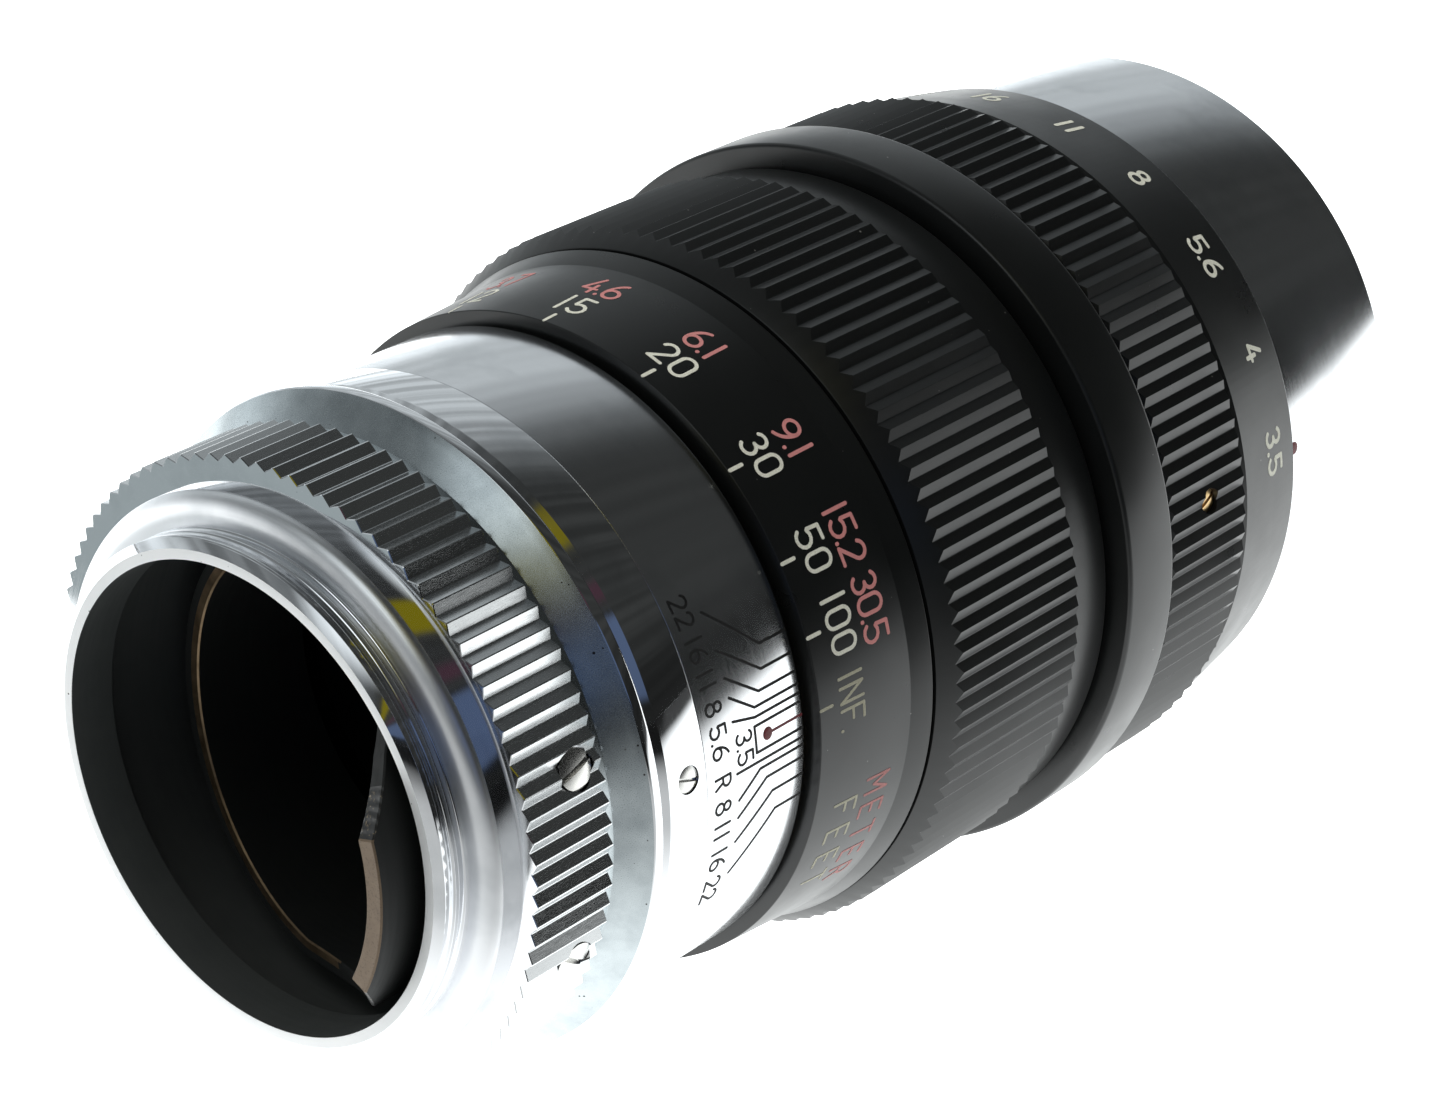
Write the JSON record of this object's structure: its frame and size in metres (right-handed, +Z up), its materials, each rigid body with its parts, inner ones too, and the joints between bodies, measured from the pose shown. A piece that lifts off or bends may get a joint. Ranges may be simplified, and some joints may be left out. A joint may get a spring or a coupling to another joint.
{
  "type": "camera_lens",
  "caption": "Chrome and black screw-mount telephoto prime lens with knurled focusing ring, aperture ring and rangefinder coupling",
  "frame": {"origin": "centre of the flange seat of the camera thread, on the optical axis", "axes": "+Y is the optical axis, out of the camera end; the front of the lens points to -Y; +Z is up as the lens lies on its side"},
  "size_m": [0.0602, 0.1109, 0.0602],
  "materials": {
    "chrome": "bright chrome plating",
    "satin_chrome": "satin chrome plating with filled engraving",
    "black_paint": "satin black enamel, worn at the edges",
    "black_inside": "matt black anodising",
    "brass": "turned brass",
    "steel": "turned steel",
    "blade_steel": "blued spring steel",
    "coated_glass": "coated optical glass"
  },
  "bodies": {
    "mount_unit": {"mount_ring": "chrome", "grip_ring": "chrome", "grip_screws": "chrome", "barrel_collar": "chrome", "collar_screw": "chrome", "scale_barrel": "satin_chrome", "guide_sleeve": "brass", "retaining_ring": "steel", "stop_screw": "steel", "lens_key": "brass", "coupler_key": "brass"},
    "coupler": {"coupler_tube": "brass"},
    "focus_ring": {"distance_ring": "black_paint", "focus_grip": "black_paint", "drive_collar": "brass", "drive_screws": "steel", "focus_helicoid": "brass"},
    "lens_unit": {"lens_tube": "black_inside", "rear_skirt": "black_inside", "front_housing": "black_inside", "cover_ring": "black_paint", "iris_base": "black_inside", "front_barrel": "satin_chrome", "front_cell": "black_inside", "front_glass": "coated_glass", "front_retainer": "black_inside", "bezel_ring": "black_paint", "middle_cell": "black_inside", "middle_glass_front": "coated_glass", "middle_glass_rear": "coated_glass", "middle_retainer": "black_inside", "rear_cell": "black_inside", "rear_glass": "coated_glass", "rear_retainer": "black_inside"},
    "aperture": {"aperture_ring": "black_paint", "aperture_screw": "brass", "cam_ring": "brass"},
    "blade_01_body": {"blade_01": "blade_steel"},
    "blade_02_body": {"blade_02": "blade_steel"},
    "blade_03_body": {"blade_03": "blade_steel"},
    "blade_04_body": {"blade_04": "blade_steel"},
    "blade_05_body": {"blade_05": "blade_steel"},
    "blade_06_body": {"blade_06": "blade_steel"},
    "blade_07_body": {"blade_07": "blade_steel"},
    "blade_08_body": {"blade_08": "blade_steel"},
    "blade_09_body": {"blade_09": "blade_steel"},
    "blade_10_body": {"blade_10": "blade_steel"},
    "blade_11_body": {"blade_11": "blade_steel"},
    "blade_12_body": {"blade_12": "blade_steel"}
  },
  "joints": [
    {"name": "focus_turn", "type": "hinge", "parent": "mount_unit", "child": "focus_ring", "pos_m": [0, -0.035, 0], "axis": [0, -1, 0], "range_deg": [0, 267]},
    {"name": "lens_slide", "type": "slide", "parent": "mount_unit", "child": "lens_unit", "axis": [0, -1, 0], "range_m": [0, 0.01312]},
    {"name": "coupler_slide", "type": "slide", "parent": "mount_unit", "child": "coupler", "axis": [0, -1, 0], "range_m": [0, 0.00188]},
    {"name": "aperture_turn", "type": "hinge", "parent": "lens_unit", "child": "aperture", "pos_m": [0, -0.0744, 0], "axis": [0, -1, 0], "range_deg": [0, 100]},
    {"name": "blade_01_swing", "type": "hinge", "parent": "lens_unit", "child": "blade_01_body", "pos_m": [-0.01945, -0.07, 0.00239], "axis": [0, -1, 0], "range_deg": [0, 34]},
    {"name": "blade_02_swing", "type": "hinge", "parent": "lens_unit", "child": "blade_02_body", "pos_m": [-0.01804, -0.07, -0.00766], "axis": [0, -1, 0], "range_deg": [0, 34]},
    {"name": "blade_03_swing", "type": "hinge", "parent": "lens_unit", "child": "blade_03_body", "pos_m": [-0.0118, -0.07, -0.01565], "axis": [0, -1, 0], "range_deg": [0, 34]},
    {"name": "blade_04_swing", "type": "hinge", "parent": "lens_unit", "child": "blade_04_body", "pos_m": [-0.00239, -0.07, -0.01945], "axis": [0, -1, 0], "range_deg": [0, 34]},
    {"name": "blade_05_swing", "type": "hinge", "parent": "lens_unit", "child": "blade_05_body", "pos_m": [0.00766, -0.07, -0.01804], "axis": [0, -1, 0], "range_deg": [0, 34]},
    {"name": "blade_06_swing", "type": "hinge", "parent": "lens_unit", "child": "blade_06_body", "pos_m": [0.01565, -0.07, -0.0118], "axis": [0, -1, 0], "range_deg": [0, 34]},
    {"name": "blade_07_swing", "type": "hinge", "parent": "lens_unit", "child": "blade_07_body", "pos_m": [0.01945, -0.07, -0.00239], "axis": [0, -1, 0], "range_deg": [0, 34]},
    {"name": "blade_08_swing", "type": "hinge", "parent": "lens_unit", "child": "blade_08_body", "pos_m": [0.01804, -0.07, 0.00766], "axis": [0, -1, 0], "range_deg": [0, 34]},
    {"name": "blade_09_swing", "type": "hinge", "parent": "lens_unit", "child": "blade_09_body", "pos_m": [0.0118, -0.07, 0.01565], "axis": [0, -1, 0], "range_deg": [0, 34]},
    {"name": "blade_10_swing", "type": "hinge", "parent": "lens_unit", "child": "blade_10_body", "pos_m": [0.00239, -0.07, 0.01945], "axis": [0, -1, 0], "range_deg": [0, 34]},
    {"name": "blade_11_swing", "type": "hinge", "parent": "lens_unit", "child": "blade_11_body", "pos_m": [-0.00766, -0.07, 0.01804], "axis": [0, -1, 0], "range_deg": [0, 34]},
    {"name": "blade_12_swing", "type": "hinge", "parent": "lens_unit", "child": "blade_12_body", "pos_m": [-0.01565, -0.07, 0.0118], "axis": [0, -1, 0], "range_deg": [0, 34]}
  ],
  "couplings": [
    {"joint": "lens_slide", "follows": "focus_turn", "m_per_rad": 0.0028152},
    {"joint": "coupler_slide", "follows": "focus_turn", "m_per_rad": 0.00040128},
    {"joint": "blade_01_swing", "follows": "aperture_turn", "ratio": 0.339},
    {"joint": "blade_02_swing", "follows": "aperture_turn", "ratio": 0.339},
    {"joint": "blade_03_swing", "follows": "aperture_turn", "ratio": 0.339},
    {"joint": "blade_04_swing", "follows": "aperture_turn", "ratio": 0.339},
    {"joint": "blade_05_swing", "follows": "aperture_turn", "ratio": 0.339},
    {"joint": "blade_06_swing", "follows": "aperture_turn", "ratio": 0.339},
    {"joint": "blade_07_swing", "follows": "aperture_turn", "ratio": 0.339},
    {"joint": "blade_08_swing", "follows": "aperture_turn", "ratio": 0.339},
    {"joint": "blade_09_swing", "follows": "aperture_turn", "ratio": 0.339},
    {"joint": "blade_10_swing", "follows": "aperture_turn", "ratio": 0.339},
    {"joint": "blade_11_swing", "follows": "aperture_turn", "ratio": 0.339},
    {"joint": "blade_12_swing", "follows": "aperture_turn", "ratio": 0.339}
  ]
}
